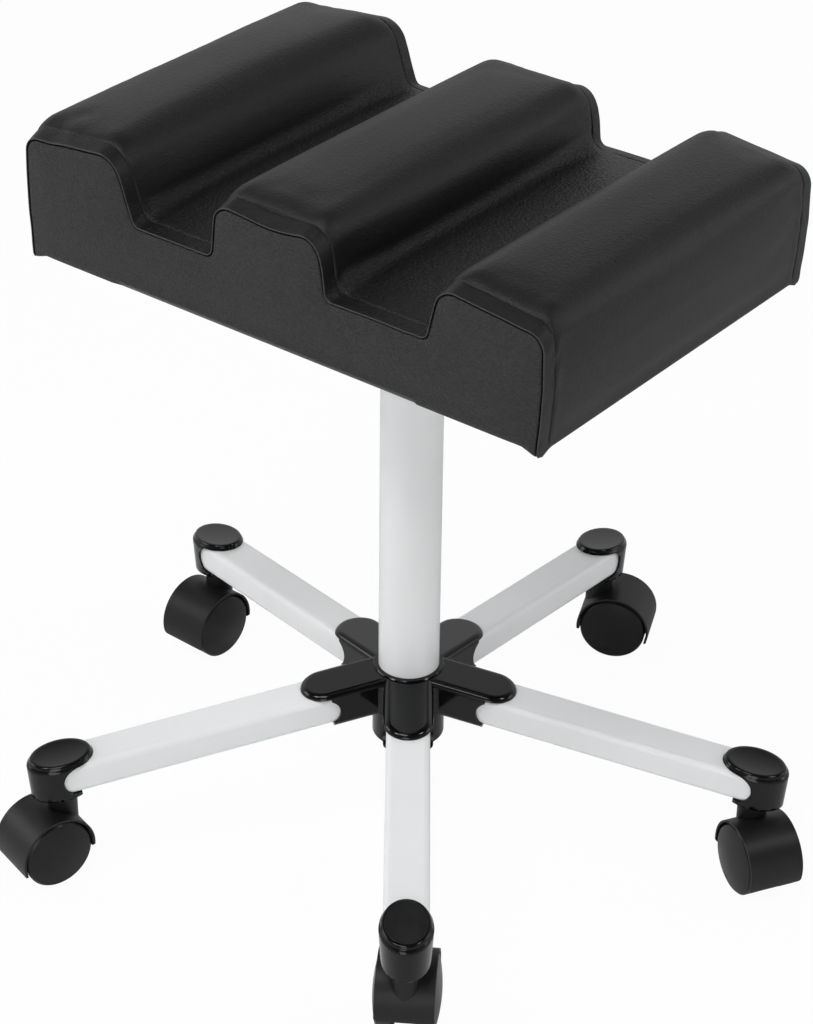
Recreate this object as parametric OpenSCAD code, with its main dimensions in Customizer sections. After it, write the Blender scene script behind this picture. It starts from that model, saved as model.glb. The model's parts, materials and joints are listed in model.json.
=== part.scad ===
// Leg-rest stool for manicure and pedicure work: a padded top with two leg channels,
// a fixed column, a five-armed tube base and five twin-wheel casters.
// Z is up and the wheels stand on z = 0. X runs along the long side of the cushion.
// The origin is the centre of the footprint's box.

/* [Cushion] */
// Length of the cushion, across the channels
cushion_l = 403; // [330:1:480]
// Depth of the cushion, along the channels
cushion_d = 282; // [240:1:340]
// Height of the cushion's lower edge above the floor
cushion_z = 428; // [380:1:520]
// Thickness of the padding under the channels
floor_h = 52; // [40:0.5:60]
// Rise of the left ridge above the channel floor, beside the channel
left_ridge_h = 45.5; // [32:0.5:52]
// Rise of the middle ridge above the channel floor
middle_ridge_h = 42; // [32:0.5:52]
// Rise of the right ridge above the channel floor, beside the channel
right_ridge_h = 41; // [32:0.5:52]
// How much lower the outer ridges are at the cushion's edge than beside the channel
outer_fall = 4.5; // [0:0.5:8]
// How much lower the ridges are at the seams than at their middle, apart from the rounding
ridge_crown = 4; // [0:0.5:6]
// Centre line of the left channel
left_channel_x = -78; // [-88:0.5:-70]
// Width of the left channel at its floor
left_channel_w = 63; // [45:0.5:70]
// Centre line of the right channel
right_channel_x = 81.5; // [70:0.5:90]
// Width of the right channel at its floor
right_channel_w = 70; // [45:0.5:74]
// Lean of the channel walls that belong to the outer ridges
outer_lean = 7; // [2:0.5:12]
// Lean of the channel walls that belong to the middle ridge
inner_lean = 2.5; // [1:0.5:8]
// Radius of the ridges' shoulders beside the channels
shoulder_r = 13; // [6:0.5:16]
// Radius of the cushion's outer top edges
edge_r = 11; // [5:0.5:18]
// How far the sides are drawn in at the lower edge
side_draw = 2.5; // [0:0.5:5]
// How far the two end panels swell out beyond their seams
end_swell = 2.5; // [0.5:0.5:5]
// Distance from an end panel's seam at which it reaches its full swell
panel_in = 7; // [3:0.5:9]
// Radius along the cushion at which the ends round down to the seams
end_r = 11; // [5:0.5:20]
// How far the ends round down
end_droop = 5; // [1:0.5:8]

/* [Seat board] */
// Thickness of the plywood board
board_t = 12; // [8:0.5:18]
// Padding and cover round the edge of the board
board_margin = 9; // [5:0.5:20]
// Corner radius of the board
board_r = 12; // [4:0.5:25]
// Thickness of the dust cloth under the seat
cloth_t = 0.8; // [0.4:0.1:2]
// Distance from the cushion's edge to the edge of the cloth
cloth_margin = 6.5; // [4:0.5:25]
// Side of the square steel plate on the column
plate_w = 130; // [100:1:180]
// Thickness of the steel plate
plate_t = 3; // [2:0.25:6]
// Corner radius of the steel plate
plate_r = 12; // [3:0.5:25]
// Distance between the plate's bolts
bolt_pitch = 96; // [70:1:140]
// Diameter of the plate's bolts
bolt_d = 6; // [4:0.5:8]

/* [Column] */
// Outer diameter of the column tube
column_d = 42.4; // [36:0.1:48]
// Wall of the column tube
column_wall = 1.5; // [1:0.1:3]
// Leg of the weld between column and plate
weld_leg = 3.5; // [2:0.5:6]
// Height of the threaded plug in the column's foot
plug_h = 15; // [10:1:30]
// Diameter of the bolt that draws the column down into the hub
centre_d = 10; // [8:0.5:12]

/* [Base] */
// Turn of the first arm from the X axis
base_turn = 19.9; // [-36:0.1:36]
// Distance from the column's axis to each caster's stem
stem_reach = 248.5; // [225:1:300]
// Downward slope of the arms in degrees
arm_slope = 6.2; // [4:0.1:8]
// Width of the arm tube
arm_w = 30; // [26:0.5:34]
// Height of the arm tube
arm_h = 22.4; // [18:0.2:26]
// Wall of the arm tube
arm_wall = 1.5; // [1:0.1:2.5]
// Radius along the arm tube's edges
arm_r = 4.5; // [3:0.5:7]

/* [Hub] */
// Reach of the hub's tongues over the arms
tongue_reach = 77; // [68:0.5:95]
// Wall of the hub's sockets beside the arms
hub_wall = 2.2; // [1.6:0.1:3.5]
// Thickness of the hub's tongues above the arms
tongue_t = 3.5; // [2.5:0.1:6]
// Radius of the tongues' long upper edges
tongue_r = 5; // [3:0.25:6]
// Thickness of the socket floors under the arms
lip_t = 1.8; // [1.4:0.1:4]
// Diameter of the screws that hold the arms in the sockets
screw_d = 4.4; // [3:0.2:5]
// Wall of the collar round the column
collar_wall = 3.4; // [2:0.1:6]
// How far the collar stands above the tongues beside it
collar_rise = 1.6; // [1.2:0.1:6]
// Wall of the boss round the column's foot
boss_wall = 3.9; // [3:0.1:8]
// How far the boss reaches below the arms' axes
boss_drop = 43.5; // [38:0.5:52]
// Diameter of the recess for the centre bolt
recess_d = 37; // [34:0.5:40]
// Depth of the recess for the centre bolt
recess_h = 10; // [9:0.5:12]
// Thickness of the floor that the column stands on
boss_floor = 5; // [3:0.5:8]

/* [End caps] */
// Length of an end cap's top along the arm
cap_l = 46.5; // [43:0.5:54]
// Wall of the cap beside the arm, at its rim
cap_wall = 2.6; // [2.4:0.1:6]
// Thickness of the cap above the arm
cap_t = 3.2; // [2.5:0.1:6]
// Thickness of the cap below the arm
cap_floor = 2.6; // [2:0.1:5]
// Radius of the cap's upper rim
cap_r = 4.5; // [3:0.25:6]
// Radius round the stem's axis of the cap's floor under the arm
cap_lip = 13; // [11.5:0.5:15]
// Depth of the shallow dish in the cap's top
cap_dish = 0.8; // [0.2:0.1:1.5]
// How far the arm's side shows past the stem's axis in the cap's side cut
cap_cut = 1; // [-3:0.5:4]
// Narrowing of the cap from its rim to its lower edge, on each side
cap_taper = 1.5; // [0.4:0.1:1.6]

/* [Casters] */
// Diameter of the caster wheels
wheel_d = 50; // [40:1:60]
// Distance from the stem's axis to the axle, measured level
trail = 15; // [12:0.5:22]
// Swivel of each caster at rest, from the stem towards the axle
caster_turns = [-30.6, 24, -92, -106, 123]; // [-180:0.1:180]
// Distance between the outer rims of a caster's two wheels
rim_span = 39; // [34:0.5:46]
// Wall of the hood's core round the stem, between the wheels
core_wall = 1.6; // [1.2:0.1:2.6]
// Rise of the wheel's domed face beyond its rim
dome_h = 3; // [1:0.25:4]
// Diameter of the stem that plugs into the base
stem_d = 11; // [8:0.5:12]
// Diameter of the axle
axle_d = 6; // [4:0.5:8]
// Gap between a wheel and its hood
hood_gap = 1.2; // [0.8:0.1:2]
// Wall of the hood
hood_wall = 1.6; // [1.2:0.1:2.5]
// Diameter of the neck on the hood
neck_d = 20; // [18:0.5:24]
// Height of the neck between the hood's crown and the stem's flange
neck_h = 8.9; // [6:0.1:16]
// Corner radius of the hood's skirts
skirt_r = 2.5; // [1:0.25:5]
// End of the hood's long skirt below the axle's level, in degrees
long_skirt = 20; // [0:1:30]
// End of the hood's short skirt below the axle's level, in degrees
short_skirt = 9; // [-10:1:20]

/* [Hidden] */
arm_count = len(caster_turns);

// Overrun of every cut beyond the faces that it opens
over = 1;
// Clearance of parts that slide together by hand
fit_gap = 0.1;
// Radial clearance of the parts that turn on each other
run_gap = 0.05;
// Gap between the bearing faces of turning parts
float_gap = 0.3;
// Facets of round parts
round_fn = 72;
small_fn = 36;
// Steps of a quarter turn on the cushion's rounded edges
arc_steps = 5;

// Seat: levels and fixings
cloth_z = cushion_z - cloth_t;
plate_z = cloth_z - plate_t;
bolt_r = bolt_d / 2;
bolt_head_r = bolt_d;
bolt_head_h = bolt_d * 2 / 3;
nut_r = bolt_r + bolt_d / 4;
nut_flange_r = bolt_d * 3 / 2;
nut_flange_t = bolt_d / 4;

// Caster sizes that the base stands on: stem, flange, sleeve and wheel
stem_r = stem_d / 2;
neck_r = neck_d / 2;
sleeve_wall = stem_r / 4;
sleeve_r = stem_r + run_gap + sleeve_wall;
flange_t = sleeve_wall;
flange_r = neck_r - sleeve_wall;
wheel_r = wheel_d / 2;
hood_in_r = wheel_r + hood_gap;
hood_r = hood_in_r + hood_wall;
flange_z = wheel_r + hood_r + neck_h;
sleeve_z = flange_z + flange_t + float_gap;

// The arms' axes, carried up from the casters along the slope
arm_drop = tan(arm_slope);
pocket_h = arm_h + 2 * fit_gap;
pocket_w = arm_w + 2 * fit_gap;
cap_foot_z = sleeve_z + neck_r * arm_drop;
stem_z = cap_foot_z + (cap_floor + pocket_h / 2) / cos(arm_slope);
arm_z = stem_z + stem_reach * arm_drop;
sleeve_top = stem_z + arm_h / 2 - arm_wall - sleeve_wall;
stem_tip = sleeve_wall;
stem_top = sleeve_top - float_gap;

// Column and the bolted foot inside the hub
column_r = column_d / 2;
column_bore_r = column_r - column_wall;
socket_r = column_r + fit_gap;
hub_z = arm_z - boss_drop;
column_foot_z = hub_z + recess_h + boss_floor;
centre_r = centre_d / 2;
washer_t = centre_d / 4;
washer_r = centre_d * 3 / 2;
head_h = centre_d * 2 / 3;
head_r = centre_d;
recess_r = recess_d / 2;

// Hub sockets, measured along the sloping arm from the column's axis
arm_start = socket_r + 2 * hub_wall;
tongue_w = pocket_w + 2 * hub_wall;
tip_along = tongue_reach / cos(arm_slope) - tongue_w / 2;
under_r = arm_r + lip_t / 2;
scoop_r = pocket_h / 2 - hub_wall / 4;
scoop_along = tip_along + scoop_r / 2;
screw_r = screw_d / 2;
screw_head_r = screw_d;
screw_along = (arm_start + tip_along) / 2;
screw_l = lip_t + arm_wall + 2 * screw_r;
core_r = tongue_w / 2 / sin(180 / arm_count) + 3 / 2 * hub_wall;
core_z = arm_z - pocket_h / 2 - lip_t;
core_top = arm_z + (pocket_h / 2 + tongue_t) / cos(arm_slope) - core_r * arm_drop - tongue_r / 2;
boss_r = socket_r + boss_wall;
boss_edge = boss_wall / 4;
collar_r = socket_r + collar_wall;
collar_edge = collar_wall / 5;
collar_z = arm_z + (pocket_h / 2 + tongue_t) / cos(arm_slope) - collar_r * arm_drop + collar_rise;

// End caps, measured along the sloping arm
stem_along = stem_reach / cos(arm_slope);
cap_w = pocket_w + 2 * cap_wall;
cap_rim_r = cap_w / 2;
cap_h = cap_t + pocket_h + cap_floor;
cap_scoop = stem_along + cap_cut - pocket_h / 2;
// The cap's plan is an ellipse, and a shear stands its sides upright under its sloping top
cap_stance = [[cap_l / cap_w, 0, -arm_drop, arm_drop * cap_h / 2], [0, 1, 0, 0], [0, 0, 1, 0], [0, 0, 0, 1]];

// Casters, measured from the axle
axle_r = axle_d / 2;
arm_end = stem_along + sleeve_r + arm_wall;
rim_half = rim_span / 2;
core_half = stem_r + core_wall;
tread_in = core_half + float_gap;
tread_w = rim_half - tread_in;
rim_t = wheel_r / 6;
rim_edge = rim_t / 3;
face_t = tread_w / 4;
wheel_boss_r = axle_r + rim_t * 2 / 3;
web_half = core_half / 2;
stem_low = 2 * axle_r;
axle_half = rim_half - face_t;
dome_steps = 6;

// Where each caster stands, and the middle of the footprint's box
function stem_turn(k) = base_turn + (k - 1) * 360 / arm_count;
function axle_x(k) = stem_reach * cos(stem_turn(k)) + trail * cos(caster_turns[k - 1]);
function axle_y(k) = stem_reach * sin(stem_turn(k)) + trail * sin(caster_turns[k - 1]);
function spread(a) = hood_r * abs(cos(a)) + rim_half * abs(sin(a));
reach_x = [for (k = [1 : arm_count], side = [-1, 1]) axle_x(k) + side * spread(caster_turns[k - 1])];
reach_y = [for (k = [1 : arm_count], side = [-1, 1]) axle_y(k) + side * spread(caster_turns[k - 1] + 90)];
column_x = -(max(reach_x) + min(reach_x)) / 2;
column_y = -(max(reach_y) + min(reach_y)) / 2;

// Placing
module on_column(z = 0) translate([column_x, column_y, z]) children();
module along_arm(k) on_column(arm_z) rotate([0, 0, stem_turn(k)]) rotate([0, arm_slope, 0]) children();
module at_stem(k, z = 0) on_column(z) rotate([0, 0, stem_turn(k)]) translate([stem_reach, 0, 0])
    rotate([0, 0, caster_turns[k - 1] - stem_turn(k)]) children();
module at_axle(k) at_stem(k, wheel_r) translate([trail, 0, 0]) children();
module at_bolts() for (x = [-1, 1], y = [-1, 1])
    translate([x * bolt_pitch / 2, y * bolt_pitch / 2, 0]) children();

// A straight hole upwards from z = from, with the overrun at both ends
module hole(r, from, length, fn = round_fn)
    translate([0, 0, from - over]) cylinder(r = r, h = length + 2 * over, $fn = fn);

// Points of an arc from angle a to angle b
function arc(x, y, r, a, b) =
    [for (i = [0 : arc_steps]) let (t = a + (b - a) * i / arc_steps) [x + r * cos(t), y + r * sin(t)]];

// A rectangle with round corners, centred
module round_rect(w, h, r) {
    square([w - 2 * r, h], center = true);
    square([w, h - 2 * r], center = true);
    for (x = [-1, 1], y = [-1, 1]) translate([x * (w / 2 - r), y * (h / 2 - r)]) circle(r, $fn = small_fn);
}

// A bar along X whose section, drawn as [y, z], is its child
module bar(from, to) translate([from, 0, 0]) rotate([90, 0, 90]) linear_extrude(to - from) children();

// A cylinder across X, centred on y = 0
module cross_rod(r, w) rotate([90, 0, 0]) cylinder(r = r, h = w, center = true, $fn = round_fn);

// Cushion: a cross section in X and Z is carried along Y
left_foot = left_channel_x - left_channel_w / 2;
left_inner = left_channel_x + left_channel_w / 2;
right_inner = right_channel_x - right_channel_w / 2;
right_foot = right_channel_x + right_channel_w / 2;

function rising_wall(foot, lean, top, floor_z) =
    concat([[foot, floor_z]], arc(foot + lean + shoulder_r, top - shoulder_r, shoulder_r, 180, 90));
function falling_wall(foot, lean, top, floor_z) =
    concat(arc(foot - lean - shoulder_r, top - shoulder_r, shoulder_r, 90, 0), [[foot, floor_z]]);

// The section at a station: swell is 0 at the seams and 1 halfway, droop lowers the ends
function section(swell, droop) =
    let (sink = ridge_crown * (1 - swell) + droop,
         left_top = floor_h + left_ridge_h - sink,
         middle_top = floor_h + middle_ridge_h - sink,
         right_top = floor_h + right_ridge_h - sink,
         floor_z = floor_h - sink / 3,
         half = cushion_l / 2 - side_draw * (1 - swell) / 2)
    concat(
        [[-half + side_draw, 0], [-half + side_draw / 4, floor_h / 4], [-half, floor_h]],
        arc(-half + edge_r, left_top - outer_fall - edge_r, edge_r, 180, 90),
        falling_wall(left_foot, outer_lean, left_top, floor_z),
        [[left_channel_x, floor_z]],
        rising_wall(left_inner, inner_lean, middle_top, floor_z),
        [[(left_inner + right_inner) / 2, middle_top]],
        falling_wall(right_inner, inner_lean, middle_top, floor_z),
        [[right_channel_x, floor_z]],
        rising_wall(right_foot, outer_lean, right_top, floor_z),
        arc(half - edge_r, right_top - outer_fall - edge_r, edge_r, 90, 0),
        [[half, floor_h], [half - side_draw / 4, floor_h / 4], [half - side_draw, 0]]
    );

// The same outline drawn in by d on every side, for the swell of the end panels
function unit(v) = v / norm(v);
function drawn_in(p, d) =
    [for (i = [0 : len(p) - 1])
        let (a = p[(i + len(p) - 1) % len(p)], b = p[(i + 1) % len(p)],
             u = unit(p[i] - a), w = unit(b - p[i]), n = unit([u[1] + w[1], -u[0] - w[0]]))
        p[i] + n * d];

// Stations as shares of the depth, closer together near the seams
station_shares = [0, 0.008, 0.022, 0.04, 0.08, 0.2, 0.35, 0.5, 0.65, 0.8, 0.92, 0.96, 0.978, 0.992, 1];
function from_end(share) = min(share, 1 - share) * cushion_d;
function droop_at(share) =
    let (e = 1 - min(from_end(share) / end_r, 1)) end_droop * (1 - sqrt(1 - e * e));
function swell_at(share) = 1 - pow(2 * share - 1, 2);
function ring(share) =
    [for (p = section(swell_at(share), droop_at(share))) [p[0], (share - 0.5) * cushion_d, p[1]]];
function panel(side) =
    [for (p = drawn_in(section(0, end_droop), panel_in)) [p[0], side * (cushion_d / 2 + end_swell), p[1]]];
rings = concat([panel(-1)], [for (share = station_shares) ring(share)], [panel(1)]);
ring_n = len(rings[0]);
ring_count = len(rings);

// Places in the outline: the feet of the channel walls, and the sides at the floor's height
arc_n = arc_steps + 1;
left_side = 2;
left_feet = [left_side + 2 * arc_n + 1, left_side + 2 * arc_n + 3];
right_feet = [left_feet[1] + 2 * arc_n + 2, left_feet[1] + 2 * arc_n + 4];
right_side = right_feet[1] + 2 * arc_n + 1;

// Each end panel is four fans: the three ridges, and the band below the channel floors
function run(from, to) = [for (i = [from : to]) i];
function fan(list) = [for (i = [1 : len(list) - 2]) [list[0], list[i], list[i + 1]]];
panel_faces = concat(
    fan(run(left_side, left_feet[0])),
    fan(run(left_feet[1], right_feet[0])),
    fan(run(right_feet[1], right_side)),
    fan(concat(run(0, left_side), run(left_feet[0], left_feet[1]), run(right_feet[0], right_feet[1]),
        run(right_side, ring_n - 1)))
);

module cushion_form() polyhedron(
    points = [for (r = rings, p = r) p],
    faces = concat(
        panel_faces,
        [for (j = [0 : ring_count - 2], i = [0 : ring_n - 1])
            let (a = j * ring_n + i, b = j * ring_n + (i + 1) % ring_n) each
            [[a, a + ring_n, b + ring_n], [a, b + ring_n, b]]],
        [for (f = panel_faces) [for (i = [2 : -1 : 0]) (ring_count - 1) * ring_n + f[i]]]
    )
);

module board_shape(margin, r) round_rect(cushion_l - 2 * margin, cushion_d - 2 * margin, r);

module cushion() color([0.16, 0.16, 0.17]) on_column(cushion_z) difference() {
    cushion_form();
    translate([0, 0, -over]) linear_extrude(board_t + over) board_shape(board_margin, board_r);
    at_bolts() hole(nut_flange_r + fit_gap, board_t, nut_flange_t - over, small_fn);
}

module seat_board() color([0.72, 0.56, 0.38]) on_column(cushion_z) difference() {
    linear_extrude(board_t) board_shape(board_margin, board_r);
    at_bolts() hole(nut_r + run_gap, 0, board_t, small_fn);
}

module dust_cloth() color([0.1, 0.1, 0.1]) on_column(cloth_z) difference() {
    linear_extrude(cloth_t) board_shape(cloth_margin, board_r);
    at_bolts() hole(nut_r + run_gap, 0, cloth_t, small_fn);
}

// Flanged nuts pressed into the board from above
module tee_nuts() color([0.7, 0.7, 0.72]) on_column(cushion_z) at_bolts() difference() {
    union() {
        cylinder(r = nut_r, h = board_t, $fn = small_fn);
        translate([0, 0, board_t]) cylinder(r = nut_flange_r, h = nut_flange_t, $fn = small_fn);
    }
    hole(bolt_r + run_gap, 0, board_t + nut_flange_t, small_fn);
}

// Steel plate with the weld that joins it to the column
module top_plate() color([0.93, 0.93, 0.94]) on_column(plate_z) {
    difference() {
        linear_extrude(plate_t) round_rect(plate_w, plate_w, plate_r);
        at_bolts() hole(bolt_r + fit_gap, 0, plate_t, small_fn);
    }
    rotate_extrude($fn = round_fn)
        polygon([[column_r, 0], [column_r + weld_leg, 0], [column_r, -weld_leg]]);
}

module plate_bolts() color([0.6, 0.6, 0.62]) on_column(plate_z) at_bolts() {
    translate([0, 0, -bolt_head_h]) cylinder(r = bolt_head_r, h = bolt_head_h, $fn = 6);
    cylinder(r = bolt_r, h = plate_t + cloth_t + board_t, $fn = small_fn);
}

module column() color([0.93, 0.93, 0.94]) on_column(column_foot_z) difference() {
    cylinder(r = column_r, h = plate_z - column_foot_z, $fn = round_fn);
    hole(column_bore_r, 0, plate_z - column_foot_z);
}

// Threaded plug in the column's foot, drawn down by the centre bolt
module column_plug() color([0.55, 0.55, 0.57]) on_column(column_foot_z) difference() {
    cylinder(r = column_bore_r - run_gap, h = plug_h, $fn = round_fn);
    hole(centre_r + run_gap, 0, plug_h, small_fn);
}

module centre_washer() color([0.7, 0.7, 0.72]) on_column(hub_z + recess_h - washer_t) difference() {
    cylinder(r = washer_r, h = washer_t, $fn = round_fn);
    hole(centre_r + fit_gap, 0, washer_t, small_fn);
}

module centre_bolt() color([0.6, 0.6, 0.62]) on_column(hub_z + recess_h - washer_t) {
    translate([0, 0, -head_h]) cylinder(r = head_r, h = head_h, $fn = 6);
    cylinder(r = centre_r, h = washer_t + boss_floor + plug_h, $fn = small_fn);
}

// Hub: a moulded spider of five sockets round a central boss

// Section of a socket: the tongue's rounded shoulders at the top, and round edges under the arm
module socket_section() {
    low = -pocket_h / 2 - lip_t;
    top = pocket_h / 2 + tongue_t;
    translate([-tongue_w / 2, low + under_r]) square([tongue_w, top - low - under_r - tongue_r]);
    translate([-tongue_w / 2 + tongue_r, 0]) square([tongue_w - 2 * tongue_r, top]);
    translate([-tongue_w / 2 + under_r, low]) square([tongue_w - 2 * under_r, -low]);
    for (side = [-1, 1]) {
        translate([side * (tongue_w / 2 - tongue_r), top - tongue_r]) circle(tongue_r, $fn = small_fn);
        translate([side * (tongue_w / 2 - under_r), low + under_r]) circle(under_r, $fn = small_fn);
    }
}

// Half of the tongue's plate, for its round tip
module tip_section() intersection() {
    square([tongue_w / 2, tongue_t]);
    union() {
        square([tongue_w / 2 - tongue_r, tongue_t]);
        translate([tongue_w / 2 - tongue_r, tongue_t - tongue_r]) circle(tongue_r, $fn = small_fn);
    }
}

module socket() {
    bar(0, tip_along) socket_section();
    translate([tip_along, 0, pocket_h / 2]) rotate([0, 0, -90])
        rotate_extrude(angle = 180, $fn = round_fn) tip_section();
}

// What a socket holds open: the arm's pocket, the concave cut at each side and the screw's hole
module socket_cuts() {
    bar(arm_start - fit_gap, tip_along + over) round_rect(pocket_w, pocket_h, arm_r);
    translate([scoop_along, 0, 0]) cross_rod(scoop_r, tongue_w + 2 * over);
    translate([screw_along, 0, 0]) hole(screw_r + fit_gap, -pocket_h / 2 - lip_t, lip_t, small_fn);
}

// The boss below the sockets, the round core that fills their corners and the collar above them
module hub_core() rotate_extrude($fn = round_fn) polygon([
    [0, hub_z], [boss_r - boss_edge, hub_z], [boss_r, hub_z + boss_edge], [boss_r, core_z], [core_r, core_z],
    [core_r, core_top], [collar_r, core_top], [collar_r, collar_z - collar_edge],
    [collar_r - collar_edge, collar_z], [0, collar_z]]);

module hub() color([0.07, 0.07, 0.075]) difference() {
    union() {
        for (k = [1 : arm_count]) along_arm(k) socket();
        on_column() hub_core();
    }
    on_column() {
        hole(socket_r, column_foot_z + over, collar_z - column_foot_z);
        hole(recess_r, hub_z, recess_h - over);
        hole(centre_r + fit_gap, hub_z, recess_h + boss_floor, small_fn);
    }
    for (k = [1 : arm_count]) along_arm(k) socket_cuts();
}

module hub_screws() color([0.6, 0.6, 0.62])
    for (k = [1 : arm_count]) along_arm(k) translate([screw_along, 0, -pocket_h / 2 - lip_t]) {
        translate([0, 0, -screw_r]) cylinder(r1 = screw_r, r2 = screw_head_r, h = screw_r, $fn = small_fn);
        cylinder(r = screw_r, h = screw_l, $fn = small_fn);
    }

// Arms: rectangular tube with round edges, holed for its screw and for the caster's sleeve
module arm(k) color([0.93, 0.94, 0.95]) difference() {
    along_arm(k) difference() {
        bar(arm_start, arm_end) round_rect(arm_w, arm_h, arm_r);
        bar(arm_start - over, arm_end + over)
            round_rect(arm_w - 2 * arm_wall, arm_h - 2 * arm_wall, arm_r - arm_wall);
        translate([screw_along, 0, 0]) hole(screw_r + run_gap, -arm_h / 2, arm_wall, small_fn);
    }
    at_stem(k) hole(sleeve_r + fit_gap, cap_foot_z, arm_h / 2);
}

// End caps

// The dish across the cap's top: shares of its radius and of its depth
dish_shares = [[0.94, 0], [0.86, 0.45], [0.72, 0.75], [0.4, 0.95], [0, 1]];

// Half of the cap's profile from its axis outwards, on its lower face
function cap_outline() = concat(
    [[0, 0], [cap_rim_r - cap_taper, 0]],
    arc(cap_rim_r - cap_r, cap_h - cap_r, cap_r, 0, 90),
    [for (share = dish_shares) [(cap_rim_r - cap_r) * share[0], cap_h - cap_dish * share[1]]]
);

module cap_form() multmatrix(cap_stance) rotate_extrude($fn = round_fn) polygon(cap_outline());

// The floor at the cap's mouth, apart from the round lip under the arm
module lip_cut() difference() {
    bar(stem_along - cap_l, cap_scoop)
        translate([0, -pocket_h / 2]) square([cap_w + 2 * over, 2 * (cap_floor + over)], center = true);
    translate([stem_along, 0, 0]) hole(cap_lip, -pocket_h / 2 - cap_floor - over, cap_floor + 2 * over);
}

module end_cap(k) color([0.07, 0.07, 0.075]) difference() {
    along_arm(k) difference() {
        translate([stem_along, 0, -pocket_h / 2 - cap_floor]) cap_form();
        bar(stem_along - cap_l, arm_end + fit_gap) round_rect(pocket_w, pocket_h, arm_r);
        translate([cap_scoop, 0, 0]) cross_rod(pocket_h / 2, cap_w + 2 * over);
        bar(stem_along - cap_l, cap_scoop) square([cap_w + 2 * over, pocket_h], center = true);
        lip_cut();
    }
    at_stem(k) hole(sleeve_r + run_gap, sleeve_z, arm_h / 2);
}

// Steel sleeve that holds the caster's stem upright through the cap and the tube
module stem_sleeve(k) color([0.7, 0.7, 0.72]) at_stem(k, sleeve_z) difference() {
    cylinder(r = sleeve_r, h = sleeve_top - sleeve_z, $fn = round_fn);
    hole(stem_r + run_gap, 0, sleeve_top - sleeve_z);
}

// Casters

module caster_stem(k) color([0.7, 0.7, 0.72]) at_stem(k) rotate_extrude($fn = round_fn) polygon([
    [0, wheel_r + stem_low], [stem_r, wheel_r + stem_low], [stem_r, flange_z], [flange_r, flange_z],
    [flange_r, flange_z + flange_t], [stem_r, flange_z + flange_t], [stem_r, stem_top - stem_tip],
    [stem_r - stem_tip, stem_top], [0, stem_top]]);

// What is left of the hood on one side of the axle: a skirt with round lower corners
module skirt(from, to, below) bar(from, to) translate([0, hood_r - hood_r * sin(below)])
    round_rect(rim_span, 2 * hood_r, skirt_r);

// Hood: a curved fender over both wheels, with the neck, the stem's core and the axle's boss
module caster_hood(k) color([0.12, 0.12, 0.125]) at_axle(k) difference() {
    union() {
        difference() {
            union() {
                intersection() {
                    cross_rod(hood_r, rim_span);
                    union() {
                        skirt(-hood_r, 0, short_skirt);
                        skirt(0, hood_r, long_skirt);
                    }
                }
                translate([-trail, 0, 0]) cylinder(r = neck_r, h = flange_z - wheel_r, $fn = round_fn);
            }
            for (side = [-1, 1])
                translate([0, side * (web_half + rim_half), 0]) cross_rod(hood_in_r, 2 * rim_half);
        }
        cross_rod(wheel_boss_r, 2 * core_half);
        translate([-trail, 0, 0]) cylinder(r = core_half, h = hood_in_r - stem_low, $fn = round_fn);
    }
    cross_rod(axle_r, rim_span);
    translate([-trail, 0, stem_low]) cylinder(r = stem_r, h = flange_z, $fn = round_fn);
}

module caster_axle(k) color([0.7, 0.7, 0.72]) at_axle(k) cross_rod(axle_r, 2 * axle_half);

// A wheel's profile as [radius, distance from the caster's middle], with its domed face
wheel_profile = concat(
    [[axle_r + run_gap, tread_in], [axle_r + run_gap, axle_half + float_gap], [0, axle_half + float_gap]],
    [for (i = [0 : dome_steps]) let (r = (wheel_r - rim_edge) * i / dome_steps)
        [r, rim_half + dome_h * (1 - pow(i / dome_steps, 2))]],
    [[wheel_r, rim_half - rim_edge], [wheel_r, tread_in + rim_edge], [wheel_r - rim_edge, tread_in],
     [wheel_r - rim_t, tread_in], [wheel_r - rim_t, rim_half - face_t], [wheel_boss_r, rim_half - face_t],
     [wheel_boss_r, tread_in]]
);

module wheel(k, side) color([0.15, 0.15, 0.155]) at_axle(k)
    rotate([-side * 90, 0, 0]) rotate_extrude($fn = round_fn) polygon(wheel_profile);

cushion();
seat_board();
dust_cloth();
tee_nuts();
top_plate();
plate_bolts();
column();
column_plug();
centre_bolt();
centre_washer();
hub();
hub_screws();
for (k = [1 : arm_count]) {
    arm(k);
    end_cap(k);
    stem_sleeve(k);
    caster_stem(k);
    caster_hood(k);
    caster_axle(k);
    wheel(k, 1);
    wheel(k, -1);
}
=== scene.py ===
import json
import math

import bpy
import numpy as np
from mathutils import Matrix, Vector, geometry
from mathutils.kdtree import KDTree


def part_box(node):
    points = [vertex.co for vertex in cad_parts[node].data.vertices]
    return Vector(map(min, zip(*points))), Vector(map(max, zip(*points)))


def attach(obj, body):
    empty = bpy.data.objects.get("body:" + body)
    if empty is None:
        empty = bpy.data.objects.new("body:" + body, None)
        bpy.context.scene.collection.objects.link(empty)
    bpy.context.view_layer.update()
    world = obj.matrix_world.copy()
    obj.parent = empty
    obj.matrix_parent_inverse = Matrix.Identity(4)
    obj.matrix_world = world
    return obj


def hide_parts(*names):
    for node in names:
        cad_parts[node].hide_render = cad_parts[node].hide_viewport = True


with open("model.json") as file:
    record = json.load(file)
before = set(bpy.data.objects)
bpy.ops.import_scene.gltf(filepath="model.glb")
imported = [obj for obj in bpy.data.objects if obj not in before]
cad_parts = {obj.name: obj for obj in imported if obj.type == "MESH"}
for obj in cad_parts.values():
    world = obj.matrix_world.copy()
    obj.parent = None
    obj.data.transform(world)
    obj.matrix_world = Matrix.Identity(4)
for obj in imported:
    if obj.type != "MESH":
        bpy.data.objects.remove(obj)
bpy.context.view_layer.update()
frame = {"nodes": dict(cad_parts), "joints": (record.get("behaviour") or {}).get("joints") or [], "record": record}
cadNodes = frame["nodes"]
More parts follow.
